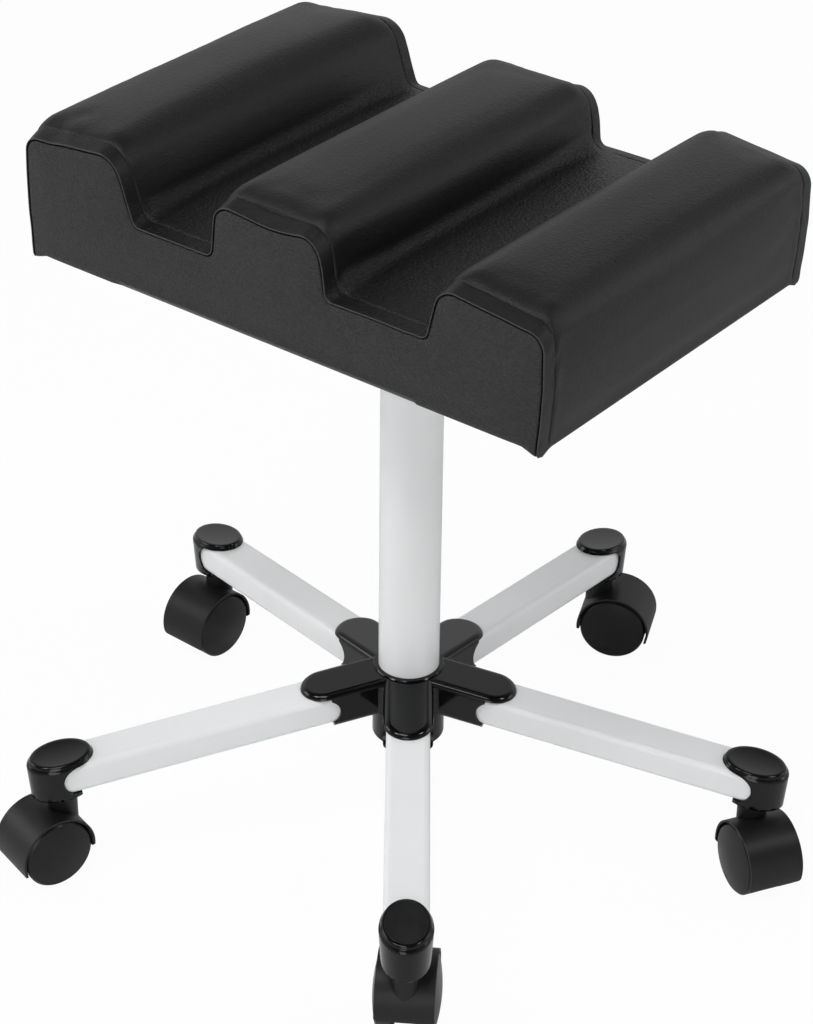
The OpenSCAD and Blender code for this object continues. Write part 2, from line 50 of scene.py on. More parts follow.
print("frame loaded:", len(cadNodes), "nodes")

mm = 0.001


def deselectAll():
    if bpy.context.object and bpy.context.object.mode != "OBJECT":
        bpy.ops.object.mode_set(mode="OBJECT")
    bpy.ops.object.select_all(action="DESELECT")


def makeActive(piece):
    deselectAll()
    piece.select_set(True)
    bpy.context.view_layer.objects.active = piece


def nodeCentre(name):
    low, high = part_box(name)
    return (low + high) / 2


# Camera: the photograph's own angle, distance and framing

columnCentre = nodeCentre("column")
viewpoint = {
    "turn": 38.0,            # degrees, from the side that faces -Y towards +X
    "dip": 32.103,           # degrees below the horizon
    "roll": 0.615,
    "distance": 1915.97 * mm,
    "aimSide": -6.96 * mm,   # how far the aim lies beside the column, along the picture
    "aimHeight": 241.89 * mm,
    "focalPixels": 2843.07,
    "centrePixel": (400.47, 511.79),
    "pictureSize": (813, 1024),
    "sensor": 36.0,
    "clip": (0.05, 50.0),    # nearest and farthest distance drawn, in metres
}


def addCamera(view):
    # returns the level directions along the picture and away from the viewer
    turn, dip, roll = (math.radians(view[key]) for key in ("turn", "dip", "roll"))
    right = Vector((math.cos(turn), math.sin(turn), 0))
    level = Vector((-math.sin(turn), math.cos(turn), 0))
    forward = level * math.cos(dip) - Vector((0, 0, math.sin(dip)))
    up = right.cross(forward)
    aim = Vector((columnCentre.x, columnCentre.y, view["aimHeight"])) + right * view["aimSide"]
    sideways = right * math.cos(roll) + up * math.sin(roll)
    upwards = up * math.cos(roll) - right * math.sin(roll)
    data = bpy.data.cameras.new("photoCamera")
    camera = bpy.data.objects.new("photoCamera", data)
    bpy.context.scene.collection.objects.link(camera)
    place = Matrix((sideways, upwards, -forward)).transposed().to_4x4()
    place.translation = aim - forward * view["distance"]
    camera.matrix_world = place
    width, height = view["pictureSize"]
    data.sensor_fit = "AUTO"
    data.sensor_width = view["sensor"]
    data.lens = view["focalPixels"] * view["sensor"] / height
    data.shift_x = (width / 2 - view["centrePixel"][0]) / height
    data.shift_y = (view["centrePixel"][1] - height / 2) / height
    data.clip_start, data.clip_end = view["clip"]
    bpy.context.scene.camera = camera
    return right, level


pictureRight, pictureAway = addCamera(viewpoint)
print("camera set")


# Shader graphs

class Channel:
    # a socket that takes part in Python arithmetic by adding Math nodes
    def __init__(self, graph, socket):
        self.graph, self.socket = graph, socket

    def combine(self, operation, first, second):
        return self.graph.node("Math", {"operation": operation}, {0: first, 1: second}).out()

    def __add__(self, other):
        return self.combine("ADD", self, other)

    def __radd__(self, other):
        return self.combine("ADD", other, self)

    def __sub__(self, other):
        return self.combine("SUBTRACT", self, other)

    def __rsub__(self, other):
        return self.combine("SUBTRACT", other, self)

    def __mul__(self, other):
        return self.combine("MULTIPLY", self, other)

    def __rmul__(self, other):
        return self.combine("MULTIPLY", other, self)


class GraphNode:
    def __init__(self, graph, made):
        self.graph, self.made = graph, made

    def out(self, key=0):
        return Channel(self.graph, self.made.outputs[key])


class Graph:
    # a node tree, built through the one method "node"; without a tree it starts a new material
    usualNoise = (0.3, 0.7)   # the range that most of a noise's values lie in

    def __init__(self, name, tree=None):
        if tree is None:
            self.material = bpy.data.materials.new(name)
            self.material.use_nodes = True
            tree = self.material.node_tree
        self.tree = tree
        self.tree.nodes.clear()

    def node(self, kind, settings=None, values=None):
        made = self.tree.nodes.new("ShaderNode" + kind)
        for key, value in (settings or {}).items():
            if key == "stops":
                self.setStops(made.color_ramp, value)
            else:
                setattr(made, key, value)
        for key, value in (values or {}).items():
            socket = made.inputs[key]
            if isinstance(value, Channel):
                self.tree.links.new(value.socket, socket)
            else:
                socket.default_value = value
        return GraphNode(self, made)

    def setStops(self, ramp, stops):
        while len(ramp.elements) < len(stops):
            ramp.elements.new(0.5)
        for element, (position, colour) in zip(ramp.elements, stops):
            element.position = position
            element.color = (*colour, 1)

    def objectPlace(self, stretch=(1, 1, 1)):
        place = self.node("TexCoord").out("Object")
        return self.node("Mapping", {}, {"Vector": place, "Scale": stretch}).out()

    def noise(self, place, scale, detail=2.0, roughness=0.5, distortion=0.0):
        values = {"Vector": place, "Scale": scale, "Detail": detail}
        values.update({"Roughness": roughness, "Distortion": distortion})
        return self.node("TexNoise", {}, values).out()

    def cells(self, place, scale, feature="F1"):
        made = self.node("TexVoronoi", {"feature": feature}, {"Vector": place, "Scale": scale})
        return made.out("Distance")

    def attribute(self, name):
        return self.node("Attribute", {"attribute_name": name}).out("Fac")

    def ramp(self, factor, stops):
        return self.node("ValToRGB", {"stops": stops}, {0: factor}).out()

    def remap(self, value, low, high, newLow, newHigh):
        values = {0: value, 1: low, 2: high, 3: newLow, 4: newHigh}
        return self.node("MapRange", {"clamp": True}, values).out()

    def spread(self, noise, newLow, newHigh):
        return self.remap(noise, *self.usualNoise, newLow, newHigh)

    def tinted(self, shade, red=1.0, blue=1.0):
        # a grey that leans to red or blue by these shares
        shares = [shade if share == 1.0 else shade * share for share in (red, 1.0, blue)]
        return self.node("CombineColor", {}, dict(enumerate(shares))).out()

    def bump(self, height, distance, strength=1.0, under=None):
        values = {"Height": height, "Distance": distance, "Strength": strength}
        if under is not None:
            values["Normal"] = under
        return self.node("Bump", {}, values).out()

    def finish(self, values):
        shader = self.node("BsdfPrincipled", {}, values)
        self.node("OutputMaterial", {}, {"Surface": shader.out()})
        return self.material


def coverLeather():
    # fine pebble grain, strongest on the end panels and in the channels, with a slow drift of sheen; the end
    # panels' pebbles carry a painted sheen and the folded lips a painted highlight
    look = {
        "dark": 0.0028,
        "light": 0.0042,
        "panel": 0.010,               # painted sheen of the pebble grain, added to the shade on the end panels
        "fold": 0.032,                # painted highlight, added to the shade on the folded lips
        "blue": 1.03,
        "squeeze": (0.62, 0.62, 1.25),
        "wrinkle": 560.0,             # pattern scales, per metre
        "pebble": 840.0,
        "pore": 2100.0,
        "drift": 9.0,
        "wrinkleShare": 0.9,
        "pebbleShare": 0.55,
        "leastGrain": 0.12,           # what is left where the grain attribute is 0
        "grainDepth": 0.8 * mm,
        "poreDepth": 0.1 * mm,
        "poreStrength": 0.35,
        "pebbleRange": (0.1, 0.55),
        "pebbleSheenShares": (0.25, 1.75),
        "driftSheenShares": (0.85, 1.15),
        "driftInShade": 0.6,
        "shadeRange": (0.45, 1.15),
        "roughness": 0.47,
        "driftRoughness": 0.12,
        "grainRoughness": 0.03,
        "poreRoughness": 0.06,
        "poreMiddle": 0.4,
        "reflection": 0.3,
    }
    g = Graph("coverLeather")
    place = g.objectPlace()
    squeezed = g.objectPlace(look["squeeze"])
    grain = g.attribute("grain")
    wrinkles = g.noise(squeezed, look["wrinkle"], detail=3.0, roughness=0.6, distortion=1.4)
    pebbles = g.cells(squeezed, look["pebble"], "SMOOTH_F1")
    pores = g.cells(place, look["pore"])
    drift = g.noise(place, look["drift"])
    coarse = wrinkles * look["wrinkleShare"] + pebbles * look["pebbleShare"]
    coarse = coarse * (look["leastGrain"] + grain * (1 - look["leastGrain"]))
    grained = g.bump(coarse, look["grainDepth"])
    pored = g.bump(pores, look["poreDepth"], look["poreStrength"], grained)
    # painted sheen: pebbles on the end panels are made lighter, cell by cell, in place of their highlights
    pebbleSheen = g.remap(pebbles, *look["pebbleRange"], *look["pebbleSheenShares"])
    pebbleSheen = pebbleSheen * g.spread(drift, *look["driftSheenShares"])
    mottle = wrinkles + drift * look["driftInShade"]
    shade = g.remap(mottle, *look["shadeRange"], look["dark"], look["light"])
    # the folded lips' added lightness is a painted highlight, and the end panels' is a painted sheen
    shade = shade + g.attribute("panel") * pebbleSheen * look["panel"] + g.attribute("fold") * look["fold"]
    roughness = look["roughness"] + (drift - 0.5) * look["driftRoughness"] - grain * look["grainRoughness"]
    roughness = roughness + (pores - look["poreMiddle"]) * look["poreRoughness"]
    return g.finish({"Base Color": g.tinted(shade, blue=look["blue"]), "Roughness": roughness,
                     "Normal": pored, "Specular IOR Level": look["reflection"]})


def whitePaint():
    # powder coat: a soft orange peel under a half gloss
    look = {"dark": 0.82, "light": 0.85, "red": 0.985, "blue": 1.008, "peel": 900.0, "drift": 14.0,
            "smooth": 0.30, "rough": 0.37, "depth": 0.05 * mm, "strength": 0.25,
            "coat": 0.25, "coatRough": 0.18}
    g = Graph("whitePaint")
    place = g.objectPlace()
    peel = g.noise(place, look["peel"])
    shade = g.spread(g.noise(place, look["drift"]), look["dark"], look["light"])
    return g.finish({"Base Color": g.tinted(shade, look["red"], look["blue"]),
                     "Roughness": g.spread(peel, look["smooth"], look["rough"]),
                     "Normal": g.bump(peel, look["depth"], look["strength"]),
                     "Coat Weight": look["coat"], "Coat Roughness": look["coatRough"]})


def glossBlack():
    # moulded plastic with a polished skin, faint flow marks and fine scuffs
    look = {"dark": 0.0022, "light": 0.0032, "blue": 1.02, "flow": 26.0, "scuff": 700.0,
            "scuffStretch": (1, 6, 2), "scuffRange": (0.35, 0.75), "smooth": 0.10, "rough": 0.16,
            "depth": 0.35 * mm, "strength": 0.12, "reflection": 0.29}
    g = Graph("glossBlack")
    flow = g.noise(g.objectPlace(), look["flow"], detail=3.0, distortion=0.4)
    scuff = g.noise(g.objectPlace(look["scuffStretch"]), look["scuff"], detail=3.0, roughness=0.7)
    shade = g.spread(flow, look["dark"], look["light"])
    return g.finish({"Base Color": g.tinted(shade, blue=look["blue"]),
                     "Roughness": g.remap(scuff, *look["scuffRange"], look["smooth"], look["rough"]),
                     "Normal": g.bump(flow, look["depth"], look["strength"]),
                     "Specular IOR Level": look["reflection"]})


def satinBlack():
    # the hoods' fine spark-eroded texture
    look = {"dark": 0.0045, "light": 0.0065, "blue": 1.02, "spark": 2300.0, "drift": 40.0,
            "smooth": 0.40, "rough": 0.5, "depth": 0.06 * mm, "strength": 0.4, "reflection": 0.32}
    g = Graph("satinBlack")
    place = g.objectPlace()
    spark = g.noise(place, look["spark"], roughness=0.6)
    shade = g.spread(g.noise(place, look["drift"]), look["dark"], look["light"])
    return g.finish({"Base Color": g.tinted(shade, blue=look["blue"]),
                     "Roughness": g.spread(spark, look["smooth"], look["rough"]),
                     "Normal": g.bump(spark, look["depth"], look["strength"]),
                     "Specular IOR Level": look["reflection"]})


def wheelBlack():
    # smooth nylon discs with light rolling scuffs
    look = {"dark": 0.0032, "light": 0.0050, "blue": 1.01, "scuff": 520.0, "drift": 60.0,
            "driftInShade": 0.5, "shadeRange": (0.5, 1.1), "smooth": 0.28, "rough": 0.36,
            "depth": 0.04 * mm, "strength": 0.25, "reflection": 0.29}
    g = Graph("wheelBlack")
    place = g.objectPlace()
    scuff = g.noise(place, look["scuff"], detail=3.0, roughness=0.7)
    drift = g.noise(place, look["drift"])
    mottle = scuff + drift * look["driftInShade"]
    shade = g.remap(mottle, *look["shadeRange"], look["dark"], look["light"])
    return g.finish({"Base Color": g.tinted(shade, blue=look["blue"]),
                     "Roughness": g.spread(drift, look["smooth"], look["rough"]),
                     "Normal": g.bump(scuff, look["depth"], look["strength"]),
                     "Specular IOR Level": look["reflection"]})


def zincSteel():
    # bright plating with faint brush lines and stains
    look = {"dark": (0.42, 0.42, 0.43), "light": (0.60, 0.60, 0.61), "brush": 420.0, "stretch": (1, 1, 9),
            "stain": 120.0, "smooth": 0.28, "rough": 0.45, "depth": 0.03 * mm, "strength": 0.4}
    g = Graph("zincSteel")
    brush = g.noise(g.objectPlace(look["stretch"]), look["brush"], detail=3.0, roughness=0.6)
    stain = g.noise(g.objectPlace(), look["stain"], detail=3.0, roughness=0.6)
    return g.finish({"Base Color": g.ramp(stain, list(zip(g.usualNoise, (look["dark"], look["light"])))),
                     "Metallic": 1.0, "Roughness": g.spread(brush, look["smooth"], look["rough"]),
                     "Normal": g.bump(brush, look["depth"], look["strength"])})


def plywood():
    # long raw grain, stretched along the board
    look = {"dark": (0.36, 0.22, 0.11), "light": (0.58, 0.41, 0.24), "ramp": (0.32, 0.68), "rings": 16.0,
            "stretch": (1, 12, 60), "smooth": 0.6, "rough": 0.75, "depth": 0.2 * mm, "strength": 0.4}
    g = Graph("plywood")
    rings = g.noise(g.objectPlace(look["stretch"]), look["rings"], detail=4.0, roughness=0.6, distortion=0.6)
    return g.finish({"Base Color": g.ramp(rings, list(zip(look["ramp"], (look["dark"], look["light"])))),
                     "Roughness": g.spread(rings, look["smooth"], look["rough"]),
                     "Normal": g.bump(rings, look["depth"], look["strength"])})


def dustCloth():
    # pressed fibres of a thin non-woven cloth
    look = {"dark": (0.008, 0.008, 0.008), "light": (0.024, 0.024, 0.025), "ramp": (0.35, 0.7),
            "fibre": 900.0, "stretch": (1, 3.5, 1), "dimple": 620.0, "fibreShare": 0.6, "dimpleShare": 0.5,
            "smooth": 0.8, "rough": 0.95, "depth": 0.25 * mm, "strength": 0.7}
    g = Graph("dustCloth")
    fibre = g.noise(g.objectPlace(look["stretch"]), look["fibre"], detail=4.0, roughness=0.7, distortion=1.2)
    dimple = g.cells(g.objectPlace(), look["dimple"])
    relief = fibre * look["fibreShare"] + dimple * look["dimpleShare"]
    return g.finish({"Base Color": g.ramp(fibre, list(zip(look["ramp"], (look["dark"], look["light"])))),
                     "Roughness": g.spread(fibre, look["smooth"], look["rough"]),
                     "Normal": g.bump(relief, look["depth"], look["strength"])})


materials = {
    "cover": coverLeather(),
    "white_paint": whitePaint(),
    "black_gloss": glossBlack(),
    "black_satin": satinBlack(),
    "black_wheel": wheelBlack(),
    "zinc_steel": zincSteel(),
    "plywood": plywood(),
    "lining": dustCloth(),
}
slotOf = {part["node"]: part["material_slot"] for part in frame["record"]["subparts"]}


def setMaterial(piece, slot):
    piece.data.materials.clear()
    piece.data.materials.append(materials[slot])


for name, piece in cadNodes.items():
    setMaterial(piece, slotOf[name])
print("materials set:", len(materials))


# Mesh helpers

def newMesh(name, vertices, faces):
    mesh = bpy.data.meshes.new(name)
    mesh.from_pydata([tuple(v) for v in vertices], [], faces)
    mesh.update()
    piece = bpy.data.objects.new(name, mesh)
    bpy.context.scene.collection.objects.link(piece)
    return piece


def mergeAndOrient(piece, within):
    # merges doubles that lie within this many metres and turns the faces outwards
    makeActive(piece)
    bpy.ops.object.mode_set(mode="EDIT")
    bpy.ops.mesh.select_all(action="SELECT")
    bpy.ops.mesh.remove_doubles(threshold=within)
    bpy.ops.mesh.normals_make_consistent(inside=False)
    bpy.ops.object.mode_set(mode="OBJECT")


def meshPoints(piece):
    points = np.zeros(len(piece.data.vertices) * 3)
    piece.data.vertices.foreach_get("co", points)
    return points.reshape(-1, 3)


def joinWith(piece, other, operation):
    # cuts the other solid out of the piece, or joins it on, and deletes it
    makeActive(piece)
    change = piece.modifiers.new("change", "BOOLEAN")
    change.operation = operation
    change.solver = "EXACT"
    change.object = other
    bpy.ops.object.modifier_apply(modifier="change")
    bpy.data.objects.remove(other)


def treeOf(points):
    tree = KDTree(len(points))
    for k, point in enumerate(points):
        tree.insert(point, k)
    tree.balance()
    return tree


def smoothStep(value, low, high):
    t = np.clip((value - low) / (high - low), 0.0, 1.0)
    return t * t * (3 - 2 * t)


# Cushion: a wrap panel over three ridges and two channels, sewn to two end panels; lengths are in mm

cushion = {
    # the section's corners from the lower left to the lower right edge, from the middle of the lower edge:
    # x, z and rounding on the seam, then x, z and rounding halfway between the seams
    "corners": [
        (-199.8, 0.0, 1.5, -200.2, 0.0, 1.5), (-201.2, 30.0, 60.0, -202.6, 32.0, 60.0),
        (-200.6, 81.6, 10.0, -202.6, 93.0, 12.0), (-124.0, 90.6, 18.0, -125.0, 99.0, 22.0),
        (-108.9, 47.4, 5.0, -109.6, 51.4, 13.0), (-46.6, 47.4, 5.0, -46.9, 51.4, 11.0),
        (-42.1, 84.4, 11.5, -42.4, 94.8, 15.0), (3.0, 81.2, 70.0, 3.0, 95.2, 70.0),
        (38.6, 85.6, 15.5, 40.6, 94.8, 17.0), (44.6, 47.4, 5.0, 44.9, 51.4, 13.0),
        (118.2, 47.4, 5.0, 118.2, 51.4, 11.0), (127.4, 84.2, 14.0, 128.0, 94.2, 17.0),
        (202.6, 76.2, 13.0, 203.0, 87.4, 17.0), (203.2, 42.0, 60.0, 203.4, 44.0, 60.0),
        (200.2, 0.0, 1.5, 200.6, 0.0, 1.5)],
    "stretchPoints": 24,          # points on each stretch and arc, before they are spaced evenly
    "around": 340,                # points round the section
    "seamAt": 141.0,              # the seams' distance from the middle
    # the rows' distances from the seam before the even spacing starts
    "nearSeam": [0.0, 0.8, 1.9, 3.2, 4.6, 6.0, 7.2, 8.0, 8.5, 8.85, 9.15, 9.4, 9.65, 9.95, 10.3, 10.8, 11.6,
                 12.8, 14.4, 16.4, 18.8, 21.4, 24.2],
    "spacing": 3.4,
    "panelPitch": 4.2,            # between the points inside an end panel
    "undersideShare": 3,          # how many times coarser the underside is
    "crown": 2.4,                 # rise of the ridges from the ends to halfway
    "crownHeights": (50.0, 92.0),  # where the crown starts and where it is full
    "cornerDrop": 4.2,            # how far the four lower corners sag
    "cornerReach": 13.0,
    "cornerPlace": (200.0, 140.0),
    "cornerHeights": (4.0, 34.0),  # the sag is full below the first and gone above the second
    "tuck": 5.0,                  # rounding of the lower edges under the board
    "tuckFrom": 128.0,
    "merge": 0.03,
    "fill": 0.8,
}
sewing = {
    "crease": 9.4,                # the topstitch's distance from the seam
    "creaseDepth": 0.8,
    "creaseWidth": 0.6,
    "bandShare": 0.45,            # how far the flat band beside the seam climbs, before the pillow's edge
    "pillow": 14.0,               # the length over which the pillow's edge rounds up past the topstitch
    "pillowPower": 2.3,
    "band": 0.15,                 # swell of the band between the topstitch and the seam
    "bulge": (0.22, 3.2, 2.6),    # swell past the topstitch: height, place and width
    "pucker": (0.28, 0.5, 3.6),   # small folds past the topstitch: height, place and width
    "wave": 0.32,                 # how far the seam strays from its line
    "waveHeights": (4.0, 16.0),   # where the wave and the relief fade in, going up
    "reliefHeights": (1.0, 9.0),
    # patterns along the seam: length, then size and length of the drift that keeps them from repeating
    "waveRipple": (6.1, 1.7, 15.0),
    "unevenRipple": (17.0, 1.3, 41.0),
    "puckerRipple": (2.6, 2.1, 13.0),
    # level, change, length and start of the patches that these patterns come and go in
    "wavePatches": (0.6, 0.4, 47.0, 0.0),
    "unevenPatches": (0.0, 1.0, 7.3, 0.4),
    "puckerPatches": (0.0, 1.0, 31.0, 0.7),
    "unevenLevel": 0.75,
    "unevenChange": 0.45,
}


def ripple(along, length, drift, driftLength, start=0.0):
    return np.sin(along / length + drift * np.sin(along / driftLength + start))


def patches(along, level, change, length, start):
    return level + change * np.sin(along / length + start)


def runAlong(line):
    # the distance from the line's first point to each of its points
    return np.cumsum(np.linalg.norm(np.diff(line, axis=0, prepend=line[:1]), axis=1))


def roundedLine(corners, pointsEach):
    # a line with arcs at its corners
    points, radii = corners[:, :2], corners[:, 2]
    share = np.linspace(0, 1, pointsEach, endpoint=False)[:, None]
    line, start = [], points[0]
    for k in range(1, len(points)):
        goal = points[k]
        isCorner = k < len(points) - 1
        if isCorner:
            back = (points[k - 1] - goal) / np.linalg.norm(points[k - 1] - goal)
            ahead = (points[k + 1] - goal) / np.linalg.norm(points[k + 1] - goal)
            half = math.acos(np.clip(back @ ahead, -1, 1)) / 2
            cut = radii[k] / math.tan(half)
            middle = goal + (back + ahead) / np.linalg.norm(back + ahead) * radii[k] / math.sin(half)
            first, last = goal + back * cut - middle, goal + ahead * cut - middle
            goal = middle + first
        line.append(start + (goal - start) * share)
        if isCorner:
            sweep = math.pi - 2 * half
            turned = first * np.sin(sweep - share * sweep) + last * np.sin(share * sweep)
            line.append(middle + turned / math.sin(sweep))
            start = middle + last
    return np.vstack([*line, points[-1:]])


def outwards(line):
    # unit normals that point out of the section, which runs clockwise from the lower left
    along = np.gradient(line, axis=0)
    normal = np.column_stack([-along[:, 1], along[:, 0]])
    return normal / np.linalg.norm(normal, axis=1)[:, None]


def outlinePair(count):
    # the seam line and the middle section, point for point and evenly spaced along the section
    corners = np.array(cushion["corners"])
    seam = roundedLine(corners[:, :3], cushion["stretchPoints"])
    run = runAlong(seam)
    wave = sewing["wave"] * ripple(run, *sewing["waveRipple"]) * patches(run, *sewing["wavePatches"])
    seam = seam + outwards(seam) * (wave * smoothStep(seam[:, 1], *sewing["waveHeights"]))[:, None]
    middle = roundedLine(corners[:, 3:], cushion["stretchPoints"])
    run = runAlong(middle)
    at = np.linspace(0, run[-1], count)
    pair = [np.interp(at, run, line[:, k]) for line in (seam, middle) for k in (0, 1)]
    return np.column_stack(pair[:2]), np.column_stack(pair[2:])


def hump(distance, height, place, width):
    return height * math.exp(-((distance - place) / width) ** 2)


def wrapRow(seam, middle, place):
    # one row of the wrap panel, this far from the middle
    s = sewing
    inward = cushion["seamAt"] - abs(place)
    past = inward - s["crease"]
    share = min(inward / s["crease"], 1.0)
    left = 1 - min(max(past, 0.0) / s["pillow"], 1.0)
    blend = s["bandShare"] * share + (1 - s["bandShare"]) * (1 - left ** s["pillowPower"])
    crowned = middle.copy()
    fall = smoothStep(middle[:, 1], *cushion["crownHeights"]) * (place / cushion["seamAt"]) ** 2
    crowned[:, 1] -= cushion["crown"] * fall
    row = seam + (crowned - seam) * blend
    run = runAlong(row)
    uneven = ripple(run, *s["unevenRipple"]) * patches(run, *s["unevenPatches"])
    uneven = s["unevenLevel"] + s["unevenChange"] * uneven
    folds = ripple(run, *s["puckerRipple"], np.sign(place)) * patches(run, *s["puckerPatches"]) ** 2
    band = s["band"] * math.sin(math.pi * share)
    groove = hump(past, s["creaseDepth"], 0.0, s["creaseWidth"])
    bulge = hump(past, *s["bulge"]) if past > 0 else 0.0
    relief = (band - groove) * uneven + bulge + folds * hump(past, *s["pucker"])
    row = row + outwards(row) * (relief * smoothStep(row[:, 1], *s["reliefHeights"]))[:, None]
    return np.column_stack([row[:, 0], np.full(len(row), place), row[:, 1]])


lip = {
    # the folded lip of the wrap, the dark gap below it and the end panel's edge:
    # how far in from the seam line, and how far out
    "steps": [(0.06, 0.5), (0.3, 0.82), (0.62, 0.88), (0.88, 0.7), (1.0, 0.3), (1.06, -0.4), (1.3, -0.95),
              (1.6, -0.6), (1.78, 0.1), (2.1, 0.62), (2.8, 0.95), (4.2, 1.2)],
    "foldHighlightShares": [0.5, 1.0, 1.0, 0.8],   # how much painted highlight the first steps along the folded edge get
    # the end panel's bulge: how far in from the seam line, and how far out there
    "panelRise": ([4.2, 8.0, 14.0, 22.0], [1.2, 1.55, 2.0, 2.3]),
    "levelHeights": (2.0, 12.0),          # below these heights the steps run level
}


def seamDirections(seam):
    # outward directions that turn level near the lower edge, so that each step ends on it
    normal = outwards(seam)
    level = 1 - smoothStep(seam[:, 1], *lip["levelHeights"])
    normal[:, 0] = normal[:, 0] * (1 - level) + np.sign(seam[:, 0]) * level
    normal[:, 1] *= 1 - level
    return normal / np.linalg.norm(normal, axis=1)[:, None]


def insideOutline(points, ring):
    inside = np.zeros(len(points), bool)
    for (ax, az), (bx, bz) in zip(ring, np.roll(ring, -1, axis=0)):
        crosses = (az > points[:, 1]) != (bz > points[:, 1])
        if crosses.any():
            at = ax + (points[:, 1] - az) * (bx - ax) / (bz - az)
            inside ^= crosses & (points[:, 0] < at)
    return inside


filling = {
    "rowShare": 0.866,   # between rows, in shares of the pitch
    "clearance": 0.55,   # between the grid and the ring, in shares of the pitch
    "tolerance": 1e-4,
}


def fillFlat(ring, pitch):
    # triangles of a flat outline with a loose grid of points inside it; the ring's points come first
    low, high = ring.min(0), ring.max(0)
    rows = np.arange(low[1] + pitch / 2, high[1], pitch * filling["rowShare"])
    columns = np.arange(low[0], high[0], pitch)
    grid = np.array([(x + (k % 2) * pitch / 2, z) for k, z in enumerate(rows) for x in columns])
    grid = grid[insideOutline(grid, ring)]
    tree = treeOf([(x, z, 0) for x, z in ring])
    apart = np.array([tree.find((x, z, 0))[2] for x, z in grid])
    points = [Vector(p) for p in np.vstack([ring, grid[apart > pitch * filling["clearance"]]])]
    edges = [(k, (k + 1) % len(ring)) for k in range(len(ring))]
    outline = [list(range(len(ring)))]
    filled = geometry.delaunay_2d_cdt(points, edges, outline, 1, filling["tolerance"])
    return np.array([tuple(v) for v in filled[0]]), [tuple(f) for f in filled[2]], filled[3]


def panelFaces(vertices, row, first, sign, pitch):
    # fills one end panel from its outline row; adds its points and returns its faces and lower line
    ring = row[:, [0, 2]]
    lowCount = int((ring[-1, 0] - ring[0, 0]) / pitch) + 2
    low = np.linspace(ring[-1, 0], ring[0, 0], lowCount)[1:-1]
    closed = np.vstack([ring, np.column_stack([low, np.zeros(len(low))])])
    points, triangles, origins = fillFlat(closed, pitch)
    seamTree = treeOf([(x, z, 0) for x, z in outlinePair(len(ring))[0]])
    index, lowLine = {}, {}
    for k, (x, z) in enumerate(points):
        source = min(origins[k], default=len(closed))
        if source < len(ring):
            index[k] = first + source
            continue
        index[k] = len(vertices)
        rise = np.interp(seamTree.find((x, z, 0))[2], *lip["panelRise"])
        vertices.append((x, sign * (cushion["seamAt"] + rise), z))
        if source < len(closed):
            lowLine[source] = index[k]
    faces = [tuple(index[k] for k in triangle) for triangle in triangles]
    return faces, [lowLine[len(ring) + k] for k in range(len(low))]


def undersideFaces(vertices, loop, pitch):
    points, triangles, origins = fillFlat(np.array([vertices[k][:2] for k in loop]), pitch)
    index = {}
    for k, (x, y) in enumerate(points):
        source = min(origins[k], default=len(loop))
        index[k] = loop[source] if source < len(loop) else len(vertices)
        if source >= len(loop):
            vertices.append((x, y, 0.0))
    return [tuple(index[k] for k in triangle) for triangle in triangles]


def cushionShell(around, places, lipSteps, pitch):
    # vertices and faces of the closed pad: wrap, lips, end panels and underside
    seam, middle = outlinePair(around)
    directions = seamDirections(seam)
    rows = [wrapRow(seam, middle, place) for place in places]
    for inward, outward in lipSteps:
        flat = seam - directions * inward
        for sign in (-1, 1):
            across = np.full(around, sign * (cushion["seamAt"] + outward))
            rows.insert(0 if sign < 0 else len(rows), np.column_stack([flat[:, 0], across, flat[:, 1]]))
    vertices = [tuple(point) for row in rows for point in row]
    faces = [(r * around + k, r * around + k + 1, (r + 1) * around + k + 1, (r + 1) * around + k)
             for r in range(len(rows) - 1) for k in range(around - 1)]
    lastRow = (len(rows) - 1) * around
    nearFaces, nearLow = panelFaces(vertices, rows[0], 0, -1, pitch)
    farFaces, farLow = panelFaces(vertices, rows[-1], lastRow, 1, pitch)
    left = [r * around for r in range(len(rows))]
    right = [first + around - 1 for first in left]
    loop = left + farLow[::-1] + right[::-1] + nearLow
    faces += nearFaces + farFaces + undersideFaces(vertices, loop, pitch * cushion["undersideShare"])
    return np.array(vertices), faces


def tuckedEdges(points):
    # rounds the ends' lower edges under the board and lets the four corners sag
    s = cushion
    x, y, z = points.T.copy()
    sunk = np.clip(1 - z / s["tuck"], 0, 1)
    drawnIn = s["tuck"] * (1 - np.sqrt(1 - sunk ** 2))
    y -= np.sign(y) * drawnIn * smoothStep(np.abs(y), s["tuckFrom"], s["seamAt"])
    cornerX, cornerY = s["cornerPlace"]
    nearX = 1 - smoothStep(np.abs(np.abs(x) - cornerX), 0.0, s["cornerReach"])
    nearY = 1 - smoothStep(np.abs(np.abs(y) - cornerY), 0.0, s["cornerReach"])
    z -= s["cornerDrop"] * nearX * nearY * (1 - smoothStep(z, *s["cornerHeights"]))
    return np.column_stack([x, y, z])


def wrapPlaces(nearSeam, spacing):
    # the rows' places from seam to seam: close together near the seams, then evenly spaced
    seamAt = cushion["seamAt"]
    inner = seamAt - nearSeam[-1]
    across = np.linspace(-inner, inner, int(2 * inner / spacing) + 1)[1:-1]
    near = [seamAt - inward for inward in reversed(nearSeam)]
    return [-place for place in reversed(near)] + list(across) + near


